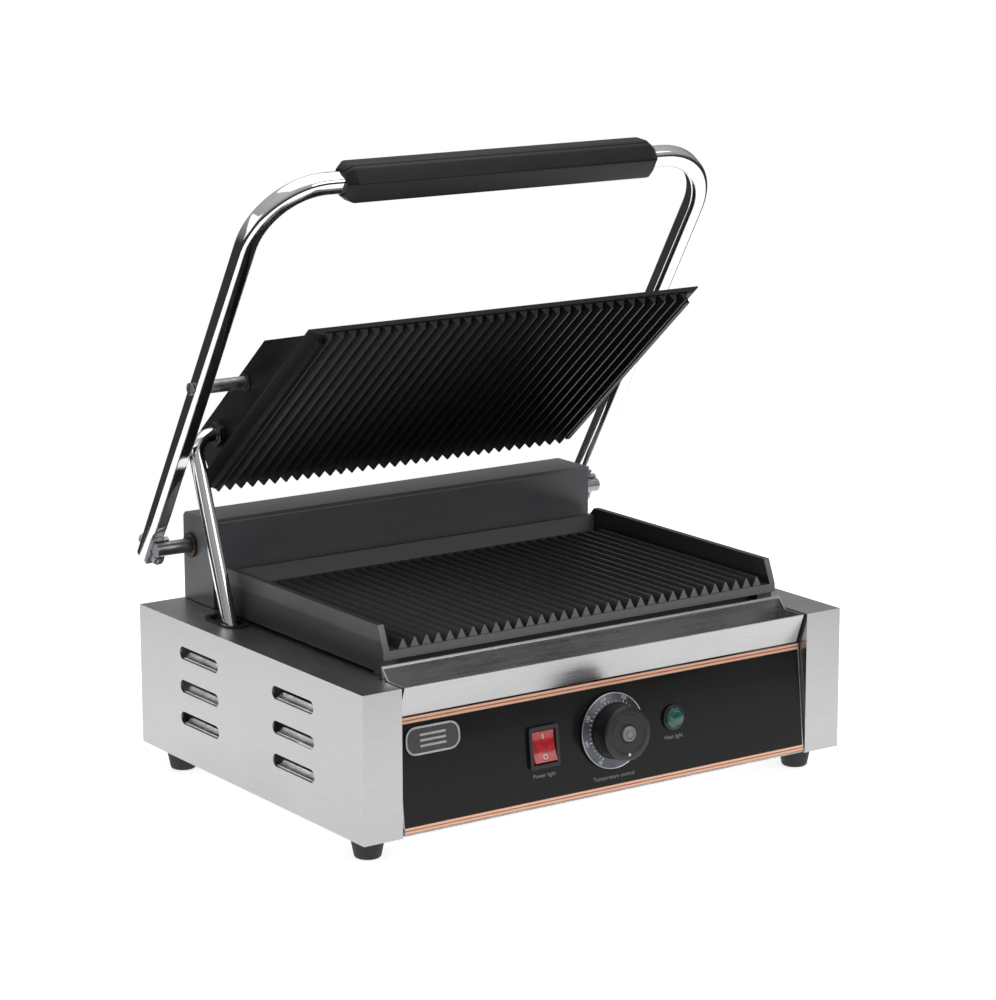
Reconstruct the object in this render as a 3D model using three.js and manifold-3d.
// Panini press: a single contact grill with a ribbed lower plate in a stainless housing and a ribbed
// upper plate hung in a U-shaped handle. Millimetres, Z up, front toward -Y, shown open.
import * as THREE from 'three';
import { mergeVertices } from 'three/addons/utils/BufferGeometryUtils.js';
import Module from 'manifold-3d';

const wasm = await Module();
wasm.setup();

// ---- driving dimensions: the front face is Y = 0, the underside of the body is Z = 0 ----
const BODY = { w: 430, d: 318, h: 109 };
const SHEET = 1.5;
const GAP = 0.3;
const PILLAR_W = 32.4;
const FOOT_H = 18;
const HALF_W = BODY.w / 2;
const OPENING_HALF = HALF_W - PILLAR_W;
const DECK_UNDER = BODY.h - SHEET;
const RIB = { count: 33, pitch: 10, height: 7, flat: 1.6, tip: 1.2 };

// lower plate casting
const LOWER = { half: 177, front: 32, rear: 263, under: 121, valley: 127.5, lipTop: 145.5, lip: 5 };
const LOWER_TIPS = LOWER.valley + RIB.height;
const SKIRT = { front: 46, wall: 6, bottom: 111.5 };

// hinge axis, and the arm laid level in front of it: it is drawn level and then lifted
const AXIS = { y: 304, z: 153 };
const ARM = { x: 202, side: 14, radius: 4, rise: 15.4, open: 58.5, tail: 20, bend: 52, grip: 332.5 };
const PIN_Y = -148.5;

// upper plate, drawn level with the plate pivot at (0, 0); c is measured back from its front edge
const UPPER = { half: 175.5, field: 167, length: 219, flange: 10, open: 40.2, pivotBack: 120.4, pivotUp: 38.5 };
const COVER = { half: 163.5, top: 48.5, wall: 3 };
const CONDUIT = { x: 187.5, r: 5.75, back: 179, up: 28.8, lean: 69.7, length: 152 };

const SEG = 18;
const CURVE_SEG = 3;
const rad = THREE.MathUtils.degToRad;

// ---- materials: one colour, roughness and metalness for each finish ----
function finish(color, roughness, metalness) {
  return { color, roughness, metalness };
}
const BRUSHED = finish(0xb9bcbd, 0.34, 1.0);
const GALVANISED = finish(0x9a9d9f, 0.5, 1.0);
const CHROME = finish(0xd8dadc, 0.08, 1.0);
const CAST_IRON = finish(0x1d1d1f, 0.6, 0.35);
const DARK_PAINT = finish(0x2b2d30, 0.42, 0.3);
const BLACK_GLOSS = finish(0x0b0b0c, 0.14, 0.0);
const BLACK_PLASTIC = finish(0x161618, 0.42, 0.0);
const RUBBER = finish(0x121213, 0.8, 0.0);
const COPPER = finish(0xc98256, 0.3, 0.7);
const RED_LENS = finish(0xc4141e, 0.2, 0.0);
const GREEN_LENS = finish(0x0f7d68, 0.12, 0.0);
const SILVER_PRINT = finish(0x9fa2a6, 0.4, 0.4);
const GREY_PLASTIC = finish(0x6f7275, 0.4, 0.1);
const WHITE_PAINT = finish(0xe9e9e6, 0.5, 0.0);
const SPRING_STEEL = finish(0x6c6f73, 0.38, 1.0);
const BRONZE = finish(0x8d6a3a, 0.4, 1.0);
const CERAMIC = finish(0xe4dfd2, 0.6, 0.0);
const MINERAL = finish(0xd8d2c2, 0.95, 0.0);

// ---- solids ----
function toManifold(geometry) {
  const bare = geometry.clone();
  bare.deleteAttribute('normal');
  bare.deleteAttribute('uv');
  const merged = mergeVertices(bare, 1e-4);
  const mesh = new wasm.Mesh({
    numProp: 3,
    vertProperties: new Float32Array(merged.attributes.position.array),
    triVerts: new Uint32Array(merged.index.array),
  });
  return new wasm.Manifold(mesh);
}

function toGeometry(manifold) {
  const mesh = manifold.getMesh();
  const geometry = new THREE.BufferGeometry();
  geometry.setAttribute('position', new THREE.BufferAttribute(new Float32Array(mesh.vertProperties), 3));
  geometry.setIndex(new THREE.BufferAttribute(new Uint32Array(mesh.triVerts), 1));
  return geometry;
}

function join(...geometries) {
  return toGeometry(geometries.map(toManifold).reduce((sum, next) => sum.add(next)));
}

function cut(body, ...tools) {
  return toGeometry(tools.map(toManifold).reduce((left, tool) => left.subtract(tool), toManifold(body)));
}

function box(x0, x1, y0, y1, z0, z1) {
  const geometry = new THREE.BoxGeometry(x1 - x0, y1 - y0, z1 - z0);
  return geometry.translate((x0 + x1) / 2, (y0 + y1) / 2, (z0 + z1) / 2);
}

// a shape drawn in (Y, Z) and extruded along X
function alongX(shape, x0, x1) {
  const geometry = new THREE.ExtrudeGeometry(shape, { depth: x1 - x0, bevelEnabled: false, curveSegments: CURVE_SEG });
  const axes = new THREE.Matrix4().makeBasis(
    new THREE.Vector3(0, 1, 0), new THREE.Vector3(0, 0, 1), new THREE.Vector3(1, 0, 0));
  return geometry.applyMatrix4(axes).translate(x0, 0, 0);
}

// a shape drawn in (X, Z) and extruded from y0 back to y1
function alongY(shape, y0, y1) {
  const geometry = new THREE.ExtrudeGeometry(shape, { depth: y1 - y0, bevelEnabled: false, curveSegments: CURVE_SEG });
  const axes = new THREE.Matrix4().makeBasis(
    new THREE.Vector3(1, 0, 0), new THREE.Vector3(0, 0, 1), new THREE.Vector3(0, -1, 0));
  return geometry.applyMatrix4(axes).translate(0, y1, 0);
}

// a shape drawn in (X, Y) and extruded up
function alongZ(shape, z0, z1) {
  const geometry = new THREE.ExtrudeGeometry(shape, { depth: z1 - z0, bevelEnabled: false, curveSegments: CURVE_SEG });
  return geometry.translate(0, 0, z0);
}

function rodX(radius, x0, x1, y, z, segments = SEG) {
  const geometry = new THREE.CylinderGeometry(radius, radius, x1 - x0, segments);
  return geometry.rotateZ(-Math.PI / 2).translate((x0 + x1) / 2, y, z);
}

function rodY(radius, y0, y1, x, z, segments = SEG) {
  const geometry = new THREE.CylinderGeometry(radius, radius, y1 - y0, segments);
  return geometry.translate(x, (y0 + y1) / 2, z);
}

function rodZ(radius, z0, z1, x, y, segments = SEG) {
  const geometry = new THREE.CylinderGeometry(radius, radius, z1 - z0, segments);
  return geometry.rotateX(Math.PI / 2).translate(x, y, (z0 + z1) / 2);
}

function polygon(points) {
  return new THREE.Shape(points.map(([a, b]) => new THREE.Vector2(a, b)));
}

function roundedRect(width, height, radius, x = 0, y = 0) {
  const shape = new THREE.Shape();
  const [w, h] = [width / 2 - radius, height / 2 - radius];
  shape.absarc(x + w, y + h, radius, 0, Math.PI / 2);
  shape.absarc(x - w, y + h, radius, Math.PI / 2, Math.PI);
  shape.absarc(x - w, y - h, radius, Math.PI, 1.5 * Math.PI);
  shape.absarc(x + w, y - h, radius, 1.5 * Math.PI, 2 * Math.PI);
  return shape;
}

// a slot with round ends centred on (x, y)
function slot(length, width, x, y) {
  return roundedRect(length, width, Math.min(length, width) / 2 - 0.001, x, y);
}

// a hexagonal nut around Z with a round bore
function hexNut(radius, bore, z0, z1) {
  return cut(rodZ(radius, z0, z1, 0, 0, 6), rodZ(bore, z0 - 1, z1 + 1, 0, 0));
}

// a closed profile turned around Z
function turned(points, segments = SEG) {
  const profile = points.map(([r, z]) => new THREE.Vector2(r, z));
  return new THREE.LatheGeometry(profile, segments).rotateX(Math.PI / 2);
}

// a path given by its own samples, so that straight runs need no steps
class SampledPath extends THREE.Curve {
  constructor(points, tangents) {
    super();
    this.points = points;
    this.tangents = tangents;
  }

  sample(list, u) {
    return list[Math.round(u * (list.length - 1))];
  }

  getPoint(t, target = new THREE.Vector3()) {
    return target.copy(this.sample(this.points, t));
  }

  getPointAt(u, target = new THREE.Vector3()) {
    return this.getPoint(u, target);
  }

  getTangentAt(u, target = new THREE.Vector3()) {
    return target.copy(this.sample(this.tangents, u));
  }

  getSpacedPoints() {
    return this.points.map((point) => point.clone());
  }
}

// straight runs through the corner points, each corner rounded to its radius
function bentPath(corners, radii, arcSteps = 8) {
  const points = [corners[0]];
  const tangents = [corners[1].clone().sub(corners[0]).normalize()];
  for (let i = 1; i < corners.length - 1; i += 1) {
    const into = corners[i].clone().sub(corners[i - 1]).normalize();
    const out = corners[i + 1].clone().sub(corners[i]).normalize();
    const turn = into.angleTo(out);
    const axis = into.clone().cross(out).normalize();
    const start = corners[i].clone().addScaledVector(into, -radii[i - 1] * Math.tan(turn / 2));
    const centre = start.clone().addScaledVector(axis.clone().cross(into), radii[i - 1]);
    for (let k = 0; k <= arcSteps; k += 1) {
      const angle = turn * k / arcSteps;
      points.push(start.clone().sub(centre).applyAxisAngle(axis, angle).add(centre));
      tangents.push(into.clone().applyAxisAngle(axis, angle));
    }
  }
  points.push(corners[corners.length - 1]);
  tangents.push(tangents[tangents.length - 1]);
  return new SampledPath(points, tangents);
}

function swept(shape, path, curveSegments = 4) {
  const steps = path.points.length - 1;
  return new THREE.ExtrudeGeometry(shape, { extrudePath: path, steps, bevelEnabled: false, curveSegments });
}

function disc(radius, bore = 0) {
  const shape = new THREE.Shape();
  shape.absarc(0, 0, radius, 0, 2 * Math.PI);
  if (bore > 0) {
    shape.holes.push(new THREE.Path().absarc(0, 0, bore, 0, 2 * Math.PI));
  }
  return shape;
}

function at(x, y, z) {
  return new THREE.Vector3(x, y, z);
}

// ---- assembly ----
const press = new THREE.Group();
press.name = 'panini_press';

function add(name, geometry, look) {
  const mesh = new THREE.Mesh(geometry, new THREE.MeshStandardMaterial(look));
  mesh.name = name;
  press.add(mesh);
  return mesh;
}

// each side of the machine in turn: -1 is the left, +1 the right
const SIDES = [['left', -1], ['right', 1]];

// a box given on the right and mirrored to the wanted side
function sideBox(side, x0, x1, y0, y1, z0, z1) {
  return side > 0 ? box(x0, x1, y0, y1, z0, z1) : box(-x1, -x0, y0, y1, z0, z1);
}

function sideRod(side, radius, x0, x1, y, z, segments = SEG) {
  return side > 0 ? rodX(radius, x0, x1, y, z, segments) : rodX(radius, -x1, -x0, y, z, segments);
}

// ---- housing ----
const VENT = { length: 57, width: 10, y: [93.5, 228.1], z: [84.7, 58.8, 34] };
const NOTCH_D = 31;
const PLATE_WELL = { x: 168, y0: 54, y1: 252 };
const DECK_SLOT = { length: 42, width: 19, y: 232.5 };
const FOOT = { x: 195, y: [27, 291], top: 13.5, bottom: 10 };

function ventSlots() {
  return VENT.y.flatMap((y) => VENT.z.map(
    (z) => alongX(slot(VENT.length, VENT.width, y, z), -HALF_W - 1, HALF_W + 1)));
}

function housingShell() {
  const inside = HALF_W - SHEET;
  const returns = SIDES.flatMap(([, side]) => [
    sideBox(side, OPENING_HALF, OPENING_HALF + SHEET, 0.2, 14, SHEET + GAP, DECK_UNDER + 0.5),
    sideBox(side, OPENING_HALF, OPENING_HALF + SHEET, 0.2, NOTCH_D, 84, DECK_UNDER + 0.5),
  ]);
  const shell = cut(
    box(-HALF_W, HALF_W, 0, BODY.d, 0, BODY.h),
    box(-inside, inside, SHEET, BODY.d + 1, -1, DECK_UNDER),
    box(-OPENING_HALF, OPENING_HALF, -1, SHEET + 1, -1, BODY.h + 1),
    box(-OPENING_HALF, OPENING_HALF, -1, NOTCH_D, DECK_UNDER - 1, BODY.h + 1),
    box(-PLATE_WELL.x, PLATE_WELL.x, PLATE_WELL.y0, PLATE_WELL.y1, DECK_UNDER - 1, BODY.h + 1),
    alongZ(slot(DECK_SLOT.width, DECK_SLOT.length, -CONDUIT.x, DECK_SLOT.y), DECK_UNDER - 1, BODY.h + 1),
    ...ventSlots(),
  );
  return join(shell, ...returns);
}

const REAR = { y0: 315, y1: 316.2, glandX: 150, glandZ: 35, glandR: 8.4 };

function rearPanel() {
  const half = HALF_W - SHEET - GAP;
  const vents = [-4, -3, -2, -1, 0, 1, 2].map(
    (i) => alongY(slot(VENT.width * 0.6, 44, i * 22, 60), REAR.y0 - 1, REAR.y1 + 1));
  return cut(
    box(-half, half, REAR.y0, REAR.y1, GAP, DECK_UNDER - GAP),
    rodY(REAR.glandR, REAR.y0 - 1, REAR.y1 + 1, REAR.glandX, REAR.glandZ),
    ...vents,
  );
}

const BASE_PLATE = { top: 1.2, y0: SHEET + 1.2, y1: REAR.y0 - GAP };

function basePlate() {
  const half = HALF_W - SHEET - GAP;
  const slots = [-2, -1, 0, 1, 2].flatMap((i) => [110, 210].map(
    (y) => alongZ(slot(8, 70, i * 60, y), -1, BASE_PLATE.top + 1)));
  const holes = SIDES.flatMap(([, side]) => FOOT.y.map(
    (y) => rodZ(2.4, -1, BASE_PLATE.top + 1, side * FOOT.x, y, 12)));
  return cut(box(-half, half, BASE_PLATE.y0, BASE_PLATE.y1, 0, BASE_PLATE.top), ...slots, ...holes);
}

function foot() {
  const [hole, recess] = [2.4, 4.6];
  return turned([
    [hole, -GAP], [hole, -9], [recess, -9], [recess, -FOOT_H], [FOOT.bottom - 1.5, -FOOT_H],
    [FOOT.bottom - 0.4, -FOOT_H + 0.5], [FOOT.bottom + 0.1, -FOOT_H + 1.6], [FOOT.top, -GAP], [hole, -GAP],
  ]);
}

function footScrew() {
  return turned([[0, -12.4], [2.6, -12.4], [3.7, -11.4], [3.7, -9.3], [2, -9.3], [2, 5], [0, 5]], 16);
}

add('housing_shell', housingShell(), BRUSHED);
add('rear_panel', rearPanel(), BRUSHED);
add('base_plate', basePlate(), GALVANISED);
for (const [sideName, side] of SIDES) {
  for (const [place, y] of [['front', FOOT.y[0]], ['rear', FOOT.y[1]]]) {
    add(`foot_${place}_${sideName}`, foot().translate(side * FOOT.x, y, 0), RUBBER);
    add(`foot_screw_${place}_${sideName}`, footScrew().translate(side * FOOT.x, y, 0), GALVANISED);
  }
}

// ---- control panel: drawn flat as (x, height up the panel, out of the panel), then leaned back ----
const PANEL = { half: 181.6, low: 2.6, high: 85.2, sheet: 1.2, lean: 6.1 };
const STRIPE = { high: 4.4, low: 4.2, proud: 0.7 };
const SWITCH = { x: -59.5, v: 45.5, w: 26, h: 31, pocketW: 20.8, pocketH: 24.8 };
const DIAL = { x: 2, v: 47.5 };
const LAMP = { x: 58.4, v: 48 };
const BADGE = { x: -153.5, v: 67.5, w: 46, h: 20.5 };

function leanedBack(geometry) {
  return geometry.rotateX(Math.PI / 2 - rad(PANEL.lean));
}

function onPanel(shape, w0, w1) {
  return alongZ(shape, w0, w1);
}

function panelHoles(clear, w0, w1) {
  return [
    onPanel(roundedRect(SWITCH.w - 3 + clear, SWITCH.h - 3 + clear, 1, SWITCH.x, SWITCH.v), w0, w1),
    rodZ(5.4 + clear, w0, w1, DIAL.x, DIAL.v),
    rodZ(6.6 + clear, w0, w1, LAMP.x, LAMP.v),
  ];
}

function controlPanel() {
  const { half, low, high, sheet } = PANEL;
  const face = join(
    box(-half, half, low, high, -sheet, 0),
    box(-half, half, high - sheet, high, -12, -sheet / 2),
    box(-half, half, low, low + sheet, -9, -sheet / 2),
  );
  return cut(face, ...panelHoles(0, -3, 1));
}

function panelFilm() {
  const edge = PANEL.half - 1.3;
  const film = box(-edge, edge, PANEL.low + STRIPE.low + GAP, PANEL.high - STRIPE.high - GAP, GAP, STRIPE.proud);
  return cut(film, ...panelHoles(0.2, 0, 1));
}

function stripe(v0, v1) {
  const edge = PANEL.half - 0.6;
  return box(-edge, edge, v0, v1, GAP, STRIPE.proud);
}

function badgePlate() {
  const plate = onPanel(roundedRect(BADGE.w, BADGE.h, 8.5, BADGE.x, BADGE.v), 1, 2.2);
  return cut(plate, onPanel(roundedRect(BADGE.w - 3, BADGE.h - 3, 7, BADGE.x, BADGE.v), 1.8, 3));
}

function switchBody() {
  const { x, v, w, h, pocketW, pocketH } = SWITCH;
  const blades = [-8, 0, 8].flatMap((dv) => [-6, 6].map(
    (dx) => box(x + dx - 2.4, x + dx + 2.4, v + dv - 0.4, v + dv + 0.4, -31, -20)));
  const body = join(
    onPanel(roundedRect(w, h, 2, x, v), 1, 3.4),
    onPanel(roundedRect(w - 3.6, h - 3.6, 1, x, v), -22, 1.5),
    ...blades,
  );
  return cut(body, onPanel(roundedRect(pocketW, pocketH, 0.6, x, v), -9, 5));
}

const ROCKER_TILT = 8;

function rocker() {
  const [x, v] = [SWITCH.x, SWITCH.v];
  const half = SWITCH.pocketH / 2 - 0.9;
  const profile = polygon([[-8.5, -5], [8.5, -5], [half, 3.4], [half / 2, 2.3], [0, 1.9], [-half / 2, 2.3], [-half, 3.4]]);
  const key = alongX(profile, -SWITCH.pocketW / 2 + 0.5, SWITCH.pocketW / 2 - 0.5);
  return key.rotateX(rad(-ROCKER_TILT)).translate(x, v, 0);
}

function lampBody() {
  return turned([
    [0, -20], [6, -20], [6, 1], [9.6, 1], [9.6, 2.2], [8.6, 3], [5, 3], [5, -16], [0, -16],
  ]).translate(LAMP.x, LAMP.v, 0);
}

function lampLens() {
  return turned([[0, -6], [4.6, -6], [4.6, 3.3], [8.3, 3.3], [8.3, 4.2], [5.2, 7.6], [0, 8.2]], 8)
    .rotateZ(rad(22.5)).translate(LAMP.x, LAMP.v, 0);
}

function thermostatBody() {
  const { x, v } = DIAL;
  const body = join(
    box(x - 18, x + 18, v - 18, v + 18, -38, -9),
    rodZ(4.9, -10, -1.6, x, v),
    box(x - 24, x + 24, v - 5, v + 5, -9.5, -8),
  );
  return cut(body, rodZ(3.5, -25, 0, x, v));
}

function thermostatShaft() {
  return rodZ(3, -24, 13, DIAL.x, DIAL.v, 16);
}

const KNOB = { skirtR: 28.5, gripR: 20.3, face: 22 };

function dialSkirt() {
  return turned([
    [KNOB.gripR + 0.4, 1.6], [KNOB.skirtR, 1.6], [KNOB.skirtR, 2.6], [KNOB.skirtR - 1, 3.4],
    [KNOB.gripR + 0.4, 5.4], [KNOB.gripR + 0.4, 1.6],
  ], 32).translate(DIAL.x, DIAL.v, 0);
}

function knobGrip() {
  const { gripR, face } = KNOB;
  const grip = turned([
    [0, 1.6], [gripR, 1.6], [gripR, face - 2], [gripR - 0.6, face - 0.6], [gripR - 2, face],
    [6.2, face], [6.2, face - 1.2], [0, face - 1.2],
  ], 28);
  const bore = rodZ(3.3, 1, 13.6, 0, 0, 16);
  const dot = rodZ(1.5, face - 0.6, face + 1, 0, -15.5, 12);
  return cut(grip, bore, dot).translate(DIAL.x, DIAL.v, 0);
}

function knobCap() {
  const { face } = KNOB;
  return turned([[0, face - 0.9], [5.8, face - 0.9], [5.8, face + 0.8], [4.6, face + 1.6], [0, face + 1.9]], 18)
    .translate(DIAL.x, DIAL.v, 0);
}

function knobDot() {
  return rodZ(1.2, KNOB.face - 0.3, KNOB.face + 0.2, DIAL.x, DIAL.v - 15.5, 12);
}

add('control_panel', leanedBack(controlPanel()), BRUSHED);
add('panel_film', leanedBack(panelFilm()), BLACK_GLOSS);
add('stripe_top', leanedBack(stripe(PANEL.high - STRIPE.high, PANEL.high)), COPPER);
add('stripe_bottom', leanedBack(stripe(PANEL.low, PANEL.low + STRIPE.low)), COPPER);
add('badge_plate', leanedBack(badgePlate()), SILVER_PRINT);
add('switch_body', leanedBack(switchBody()), BLACK_PLASTIC);
add('switch_rocker', leanedBack(rocker()), RED_LENS);
add('lamp_body', leanedBack(lampBody()), BLACK_PLASTIC);
add('lamp_lens', leanedBack(lampLens()), GREEN_LENS);
add('thermostat_body', leanedBack(thermostatBody()), GALVANISED);
add('thermostat_shaft', leanedBack(thermostatShaft()), GALVANISED);
add('dial_skirt', leanedBack(dialSkirt()), SILVER_PRINT);
add('knob_grip', leanedBack(knobGrip()), BLACK_PLASTIC);
add('knob_cap', leanedBack(knobCap()), GREY_PLASTIC);
add('knob_dot', leanedBack(knobDot()), WHITE_PAINT);

// ---- drip tray: a trough whose front wall leans out to meet the pillar fronts ----
const TRAY = { half: 180, wall: 1.2, floor: 85.6 };

function dripTray() {
  const { half, wall, floor } = TRAY;
  const outer = polygon([[9.2, floor], [0.3, BODY.h], [22, BODY.h], [30.6, 118], [27, floor]]);
  const inner = polygon([
    [9.2 + wall, floor + wall], [0.3 + wall * 1.1, BODY.h + 1], [1, 130], [30.8, 130],
    [30.6 - wall, 118], [27 - wall, floor + wall],
  ]);
  return cut(alongX(outer, -half, half), alongX(inner, -half + wall, half - wall));
}

add('drip_tray', dripTray(), BRUSHED);

// ---- lower plate and what lies under it ----
function ribProfile(x, base, tip) {
  const halfBase = (RIB.pitch - RIB.flat) / 2;
  const halfTip = RIB.tip / 2;
  return polygon([[x - halfBase, base], [x + halfBase, base], [x + halfTip, tip], [x - halfTip, tip]]);
}

function ribCentres() {
  return Array.from({ length: RIB.count }, (unused, i) => (i - (RIB.count - 1) / 2) * RIB.pitch);
}

function lowerPlate() {
  const { half, front, rear, under, valley, lipTop, lip } = LOWER;
  const slab = box(-half, half, front, rear, under, valley);
  const ribs = ribCentres().map((x) => alongY(ribProfile(x, valley - 0.5, LOWER_TIPS), front + 1, rear - 24));
  const lipSide = polygon([
    [front, under + 1], [front, valley], [front + 7.5, lipTop], [rear - 5, lipTop], [rear, lipTop - 5], [rear, under + 1],
  ]);
  const parts = SIDES.flatMap(([, side]) => [
    side > 0 ? alongX(lipSide, half - lip, half) : alongX(lipSide, -half, -half + lip),
    sideBox(side, half - SKIRT.wall, half, front + 6, rear, SKIRT.bottom, under + 1),
    sideBox(side, half - 14, half, front + 4, front + 12, BODY.h + 0.4, under + 1),
    sideBox(side, half - 14, half, rear - 12, rear, BODY.h + 0.4, under + 1),
  ]);
  const rearLip = box(-half, half, rear - lip, rear, valley - 1, lipTop - 5);
  const frontSkirt = box(-half, half, SKIRT.front, SKIRT.front + 5, SKIRT.bottom, under + 1);
  const rearSkirt = box(-half, half, rear - SKIRT.wall, rear, SKIRT.bottom, under + 1);
  const body = join(slab, ...ribs, ...parts, rearLip, frontSkirt, rearSkirt);
  const ribEnd = polygon([[rear - 24.5, valley + 0.6], [rear - 20, valley + 0.6], [rear - 20, 140], [rear - 33, 140]]);
  return cut(body, alongX(ribEnd, -half + lip + 1, half - lip - 1));
}

// a tubular element lying flat: legs along Y joined by half-circle bends
function heaterPath(xs, y0, y1, z) {
  const corners = [];
  xs.forEach((x, i) => {
    const [from, to] = i % 2 === 0 ? [y1, y0] : [y0, y1];
    corners.push(at(x, from, z), at(x, to, z));
  });
  const radii = corners.slice(1, -1).map(() => 14);
  return bentPath(corners, radii, 4);
}

function heater(xs, y0, y1, z) {
  return swept(disc(4), heaterPath(xs, y0, y1, z), 4);
}

function lowerShield() {
  const [y0, y1] = [66, 248];
  return cut(box(-160, 160, y0, y1, 96, 106), box(-159, 159, y0 + 1, y1 - 1, 97, 107));
}

// the bulb lies across the plate and its capillary drops in front of the shield to the thermostat
function thermostatBulb() {
  const bulb = rodX(3, -50, 50, 60, 116.5, 16);
  const path = bentPath([at(49, 60, 116.5), at(66, 60, 116.5), at(66, 60, 70), at(10, 60, 58)], [6, 6], 4);
  return join(bulb, swept(disc(1.3), path, 3));
}

add('lower_plate', lowerPlate(), CAST_IRON);
add('lower_heater', heater([-135, -45, 45, 135], 78, 238, 116.6), SPRING_STEEL);
add('lower_insulation', box(-157, 157, 69, 245, 98, 111.5), MINERAL);
add('lower_shield', lowerShield(), GALVANISED);
add('thermostat_bulb', thermostatBulb(), BRONZE);

// ---- terminal block and cable gland ----
function terminalBlock() {
  const block = box(70, 130, 232, 254, 1.6, 20);
  const wells = [0, 1, 2, 3].map((i) => rodZ(4, 12, 21, 78 + i * 14.6, 243, 12));
  return cut(block, ...wells);
}

function cableGland() {
  const body = turned([
    [5, -14], [7.9, -14], [7.9, 2.2], [13, 2.2], [13, 6.5], [10.5, 8], [9, 18], [7.5, 20], [5, 20], [5, -14],
  ]);
  return body.rotateX(-Math.PI / 2).translate(REAR.glandX, REAR.y0 + GAP - 1, REAR.glandZ);
}

function glandNut() {
  return hexNut(13, 8.3, -6, -GAP).rotateX(-Math.PI / 2).translate(REAR.glandX, REAR.y0, REAR.glandZ);
}

add('terminal_block', terminalBlock(), CERAMIC);
add('cable_gland', cableGland(), BLACK_PLASTIC);
add('gland_nut', glandNut(), BLACK_PLASTIC);

// ---- hinge box, bushes and springs ----
const HINGE_BOX = { half: 176.4, y0: 271.5, y1: 316, z0: BODY.h + GAP, z1: 177.6, wall: 2 };

function hingeBoxOutline(inset) {
  const { y0, y1, z0, z1 } = HINGE_BOX;
  const bend = 2.5;
  const [front, back, top] = [y0 + inset, y1 - inset, z1 - inset];
  return polygon([
    [front, inset > 0 ? z0 - 1 : z0], [back, inset > 0 ? z0 - 1 : z0],
    [back, top - bend], [back - bend, top], [front + bend, top], [front, top - bend],
  ]);
}

function hingeBox() {
  const { half, wall } = HINGE_BOX;
  return cut(
    alongX(hingeBoxOutline(0), -half, half),
    alongX(hingeBoxOutline(wall), -half + wall, half - wall),
    rodX(8, -half - 1, half + 1, AXIS.y, AXIS.z),
  );
}

function hingeBush() {
  const { half, wall } = HINGE_BOX;
  const [bore, barrel, flange] = [5.9, 7.7, 9.6];
  return turned([
    [bore, half - wall - 3], [barrel, half - wall - 3], [barrel, half + GAP], [flange, half + GAP],
    [flange, half + 2.3], [bore, half + 2.3], [bore, half - wall - 3],
  ]).rotateY(Math.PI / 2).translate(0, AXIS.y, AXIS.z);
}

const SPRING = { x0: 56, x1: 140, radius: 8.2, wire: 1.2, turns: 10 };

function torsionSpring() {
  const perTurn = 12;
  const steps = SPRING.turns * perTurn;
  const pitch = (SPRING.x1 - SPRING.x0) / steps;
  const points = [];
  const tangents = [];
  for (let i = 0; i <= steps; i += 1) {
    const angle = 2 * Math.PI * i / perTurn;
    const [c, s] = [Math.cos(angle) * SPRING.radius, Math.sin(angle) * SPRING.radius];
    points.push(at(SPRING.x0 + i * pitch, AXIS.y + c, AXIS.z + s));
    tangents.push(at(pitch * perTurn / (2 * Math.PI), -s, c).normalize());
  }
  return swept(disc(SPRING.wire), new SampledPath(points, tangents), 2);
}

function mirrored(geometry) {
  const flipped = geometry.clone().scale(-1, 1, 1);
  const index = flipped.index ? flipped.index.array : null;
  if (index) {
    for (let i = 0; i < index.length; i += 3) {
      [index[i], index[i + 1]] = [index[i + 1], index[i]];
    }
    return flipped;
  }
  const position = flipped.attributes.position;
  for (let i = 0; i < position.count; i += 3) {
    const [ax, ay, az] = [position.getX(i), position.getY(i), position.getZ(i)];
    position.setXYZ(i, position.getX(i + 1), position.getY(i + 1), position.getZ(i + 1));
    position.setXYZ(i + 1, ax, ay, az);
  }
  flipped.deleteAttribute('normal');
  return flipped;
}

function bothSides(name, geometry, look) {
  add(`${name}_right`, geometry, look);
  add(`${name}_left`, mirrored(geometry), look);
}

function deckGrommet() {
  const { length, width, y } = DECK_SLOT;
  const ring = join(
    alongZ(slot(width - 1, length - 1, -CONDUIT.x, y), DECK_UNDER - 1, BODY.h + 1),
    alongZ(slot(width + 1.6, length + 4, -CONDUIT.x, y), BODY.h + GAP, BODY.h + 1.3),
  );
  return cut(ring, alongZ(slot(width - 3.4, length - 4, -CONDUIT.x, y), DECK_UNDER - 2, BODY.h + 3));
}

add('hinge_box', hingeBox(), DARK_PAINT);
bothSides('hinge_bush', hingeBush(), BRONZE);
bothSides('torsion_spring', torsionSpring(), SPRING_STEEL);
add('deck_grommet', deckGrommet(), BLACK_PLASTIC);

// ---- handle: drawn with the arm level, its shaft at the origin, then lifted ----
function lifted(geometry) {
  return geometry.rotateX(rad(-ARM.open)).translate(0, AXIS.y, AXIS.z);
}

const LUG = { y0: -5, y1: 18, z0: 4.2, z1: 8.1 };
const BOLT_Y = 11;

function hingeShaft() {
  const shaft = rodX(5.5, -208, 208, 0, 0);
  const lugs = SIDES.map(([, side]) => sideBox(side, ARM.x - 7, ARM.x + 7, LUG.y0, LUG.y1, LUG.z0, LUG.z1));
  const holes = SIDES.map(([, side]) => rodZ(2.8, 0, 12, side * ARM.x, BOLT_Y, 16));
  return cut(join(shaft, ...lugs), ...holes);
}

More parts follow.
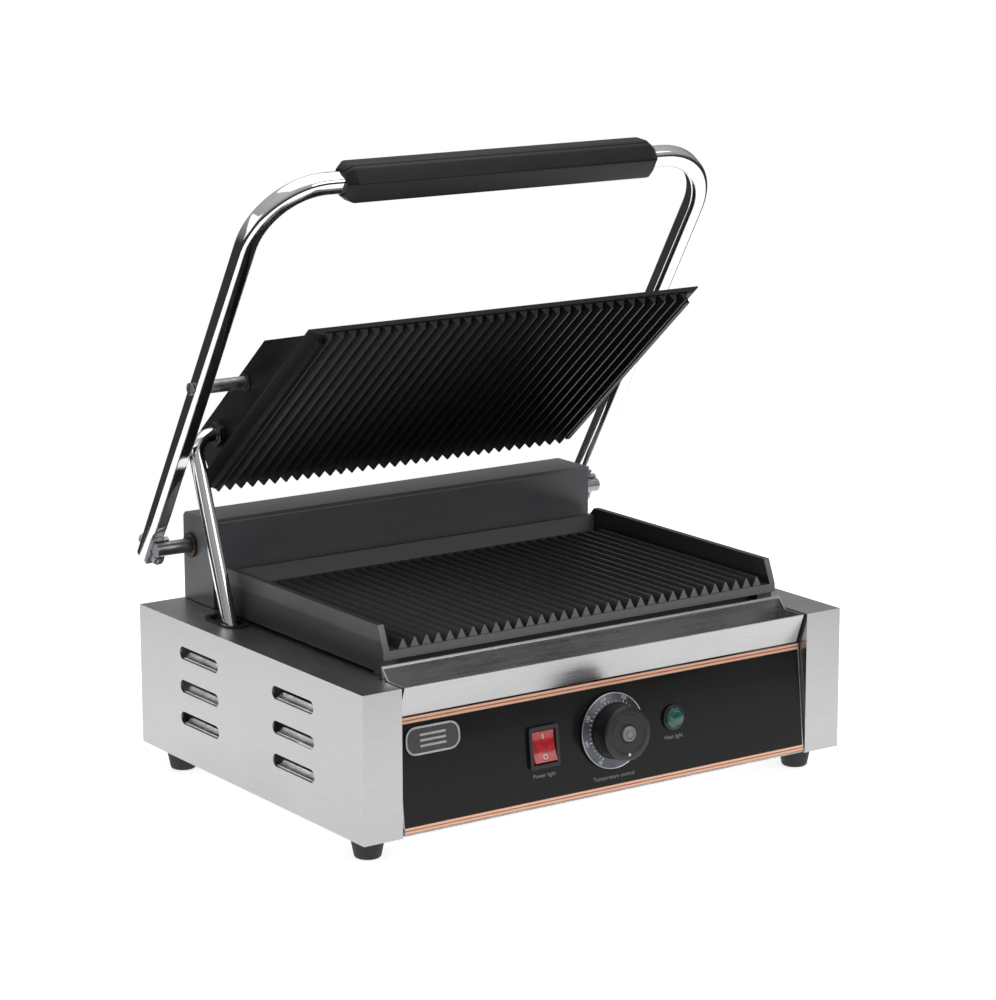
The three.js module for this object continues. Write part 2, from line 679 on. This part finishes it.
function handleTube() {
  const { x, side, radius, rise, tail, bend, grip } = ARM;
  const section = roundedRect(side, side, radius);
  section.holes.push(roundedRect(side - 3, side - 3, radius - 1.5));
  const path = bentPath(
    [at(-x, tail, rise), at(-x, -grip, rise), at(x, -grip, rise), at(x, tail, rise)], [bend, bend], 8);
  const tube = swept(section, path, 2);
  const holes = SIDES.flatMap(([, s]) => [
    rodZ(2.8, rise - 10, rise + 10, s * x, BOLT_Y, 12),
    sideRod(s, 3.3, x - 9, x + 9, PIN_Y, rise, 12),
  ]);
  return cut(tube, ...holes);
}

const GRIP = { half: 138.5, chamfer: 7, deep: 28, high: 29 };

function gripSleeve() {
  const { half, chamfer, deep, high } = GRIP;
  const [d, h] = [deep / 2, high / 2];
  const section = polygon([
    [-d, -3], [-d, 3], [-d * 0.62, h], [d * 0.62, h], [d, 3], [d, -3], [d * 0.62, -h], [-d * 0.62, -h],
  ]);
  const bars = new THREE.ExtrudeGeometry(section, {
    depth: 2 * (half - chamfer), bevelThickness: chamfer, bevelSize: 5, bevelOffset: -5, bevelSegments: 2,
  });
  const axes = new THREE.Matrix4().makeBasis(
    new THREE.Vector3(0, 1, 0), new THREE.Vector3(0, 0, 1), new THREE.Vector3(1, 0, 0));
  bars.applyMatrix4(axes).translate(-half + chamfer, 0, 0);
  const bore = alongX(roundedRect(ARM.side + 0.7, ARM.side + 0.7, ARM.radius), -half - 1, half + 1);
  return cut(bars, bore).translate(0, -ARM.grip, ARM.rise);
}

function armBolt() {
  const top = ARM.rise + ARM.side / 2 + GAP;
  const head = rodZ(5, top, top + 4, ARM.x, BOLT_Y, 6);
  return join(head, rodZ(2.4, -3, top + 1, ARM.x, BOLT_Y, 16));
}

function armNut() {
  return hexNut(5.2, 2.8, -0.6, 3.8).translate(ARM.x, BOLT_Y, 0);
}

function pivotPin() {
  const inner = ARM.x - ARM.side / 2 - GAP;
  const outer = ARM.x + ARM.side / 2 + GAP;
  return join(
    rodX(5, 149, inner, PIN_Y, ARM.rise),
    rodX(2.9, inner - 1, outer + 1, PIN_Y, ARM.rise, 16),
    rodX(4.6, outer, outer + 2.2, PIN_Y, ARM.rise, 16),
  );
}

function springCollar() {
  return turned([[5.9, 146], [9.4, 146], [9.4, 156], [5.9, 156], [5.9, 146]]).rotateY(Math.PI / 2);
}

add('hinge_shaft', lifted(hingeShaft()), SPRING_STEEL);
bothSides('spring_collar', lifted(springCollar()), SPRING_STEEL);
add('handle_tube', lifted(handleTube()), CHROME);
add('grip', lifted(gripSleeve()), BLACK_PLASTIC);
bothSides('arm_bolt', lifted(armBolt()), GALVANISED);
bothSides('arm_nut', lifted(armNut()), GALVANISED);
bothSides('pivot_pin', lifted(pivotPin()), CHROME);

// ---- upper plate: drawn level as (x, back, up), its pivot at the origin, then hung open ----
function hung(geometry) {
  const pivot = at(0, PIN_Y, ARM.rise).applyAxisAngle(at(1, 0, 0), rad(-ARM.open));
  return geometry
    .translate(0, -UPPER.pivotBack, -UPPER.pivotUp)
    .rotateX(rad(-UPPER.open))
    .translate(0, AXIS.y + pivot.y, AXIS.z + pivot.z);
}

function upperPlate() {
  const { half, field, length, flange, pivotBack, pivotUp } = UPPER;
  const rail = 4;
  const valley = RIB.height - 0.5;
  const draft = 4.5;
  const section = polygon([
    [-field, draft], [-field + rail, draft], [-field + rail, valley],
    [field - rail, valley], [field - rail, draft], [field, draft],
    [half, flange - 1.2], [half, flange], [-half, flange], [-half, flange - 1.2],
  ]);
  const slab = alongY(section, 0, length);
  const boss = box(-152, 152, 44, 196, flange - 1, 16);
  const ribs = ribCentres().map((x) => alongY(ribProfile(x, RIB.height, 0), 1.2, length - 1.2));
  const rails = SIDES.map(([, side]) => sideBox(side, field - rail, field, 7, length - 7, 0, RIB.height + 0.2));
  const lugTop = COVER.top - COVER.wall - 0.5;
  const lugs = SIDES.map(([, side]) => sideBox(side, 150, 156, pivotBack - 12, pivotBack + 12, flange - 1, lugTop));
  return cut(join(slab, boss, ...ribs, ...rails, ...lugs), rodX(5.5, -157, 157, pivotBack, pivotUp));
}

function coverOutline(inset) {
  const base = inset > 0 ? 9 : UPPER.flange + GAP;
  return polygon([
    [8 + 3 * inset, base], [78 + inset, COVER.top - inset], [203 - inset, COVER.top - inset],
    [213 - inset, COVER.top - 12 - inset], [214 - inset, base],
  ]);
}

function upperCover() {
  const { half, top, wall } = COVER;
  const bevel = 1.5;
  const edge = polygon([
    [-half, 0], [half, 0], [half, top - bevel], [half - bevel, top + 0.01],
    [-half + bevel, top + 0.01], [-half, top - bevel]]);
  const outside = toGeometry(
    toManifold(alongX(coverOutline(0), -half, half)).intersect(toManifold(alongY(edge, 0, UPPER.length))));
  return cut(
    outside,
    alongX(coverOutline(wall), -half + wall, half - wall),
    rodX(7.4, -half - 1, half + 1, UPPER.pivotBack, UPPER.pivotUp),
    rodX(6.2, -half - 1, -half + wall + 1, CONDUIT.back, CONDUIT.up),
  );
}

function pivotBush() {
  const { half } = COVER;
  return turned([
    [5.4, half - 5], [6.9, half - 5], [6.9, half + 1], [5.4, half + 1], [5.4, half - 5],
  ]).rotateY(Math.PI / 2).translate(0, UPPER.pivotBack, UPPER.pivotUp);
}

function conduit() {
  const { x, r, back, up, lean, length } = CONDUIT;
  const down = rad(lean + UPPER.open);
  const end = at(-x, back - Math.cos(down) * length, up - Math.sin(down) * length);
  const path = bentPath([at(-152, back, up), at(-x, back, up), end], [16], 6);
  return swept(disc(r, r - 1.2), path, 6);
}

function conduitNut() {
  const outer = COVER.half + GAP;
  return hexNut(9.5, 6.3, outer, outer + 5).rotateY(-Math.PI / 2).translate(0, CONDUIT.back, CONDUIT.up);
}

add('upper_plate', hung(upperPlate()), CAST_IRON);
add('upper_cover', hung(upperCover()), DARK_PAINT);
bothSides('pivot_bush', hung(pivotBush()), BRONZE);
add('upper_heater', hung(heater([-120, -40, 40, 120], 52, 178, 20.4)), SPRING_STEEL);
add('upper_insulation', hung(box(-140, 140, 82, 186, 25, 40)), MINERAL);
add('conduit_tube', hung(conduit()), CHROME);
add('conduit_nut', hung(conduitNut()), GALVANISED);

// ---- the finished group stands on the floor with its middle over the origin ----
const bounds = new THREE.Box3().setFromObject(press);
const middle = bounds.getCenter(new THREE.Vector3());
press.children.forEach((mesh) => mesh.geometry.translate(-middle.x, -middle.y, -bounds.min.z));

export default press;
